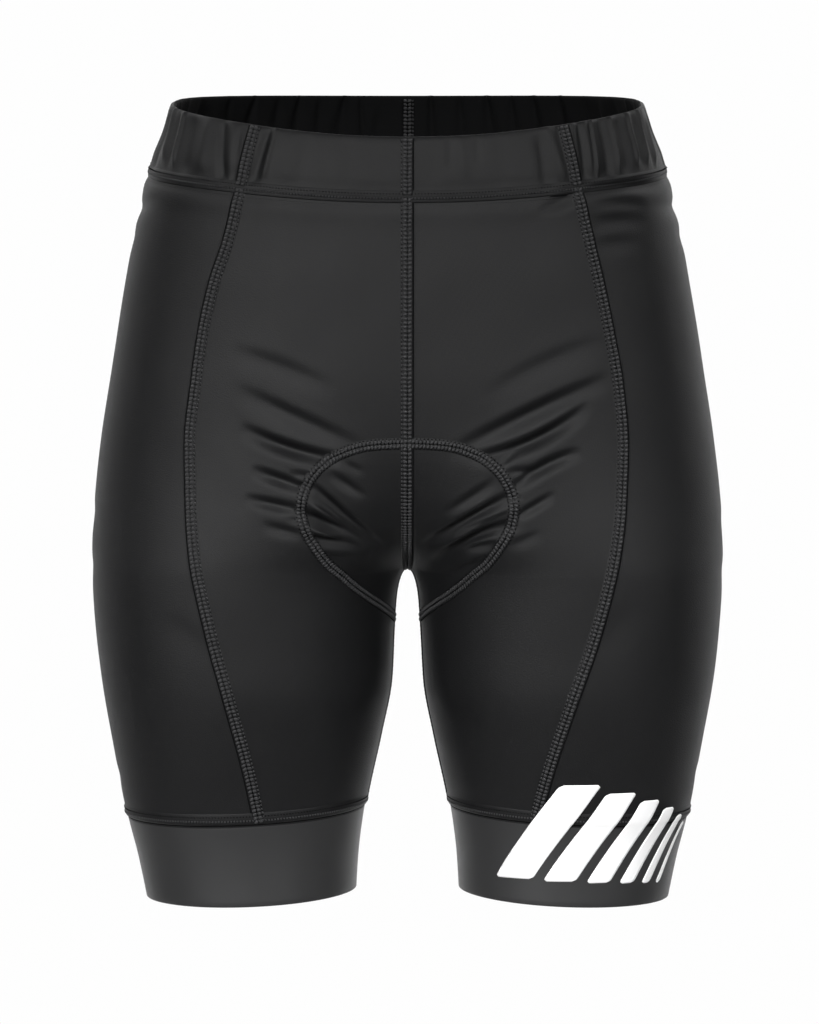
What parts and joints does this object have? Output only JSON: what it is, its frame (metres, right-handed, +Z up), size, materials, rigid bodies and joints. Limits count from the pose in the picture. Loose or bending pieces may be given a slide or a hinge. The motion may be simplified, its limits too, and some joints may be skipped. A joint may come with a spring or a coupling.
{
  "type": "cycling shorts",
  "caption": "Close-fitting padded cycling shorts, held open as if worn, with a gathered elastic waistband and smooth grip bands at the leg ends.",
  "frame": {"origin": "middle of the waist opening, where the wearer's waist holds the shorts up", "axes": "+Z up, -Y to the front, +X to the wearer's left"},
  "size_m": [0.3495, 0.218, 0.4484],
  "materials": {
    "body_cloth": "matt black stretch knit with a soft sheen at grazing angles",
    "band_cloth": "the same knit, doubled over an elastic and gathered",
    "grip_cloth": "smooth charcoal power-stretch band",
    "pad_cloth": "brushed moulded foam seat pad",
    "thread": "black textured thread",
    "print": "flat white heat-pressed film"
  },
  "bodies": {
    "root": {"front_left": "body_cloth", "side_left": "body_cloth", "back_left": "body_cloth", "grip_left": "grip_cloth", "front_right": "body_cloth", "side_right": "body_cloth", "back_right": "body_cloth", "grip_right": "grip_cloth", "waistband": "band_cloth", "seat_pad": "pad_cloth"}
  },
  "joints": []
}
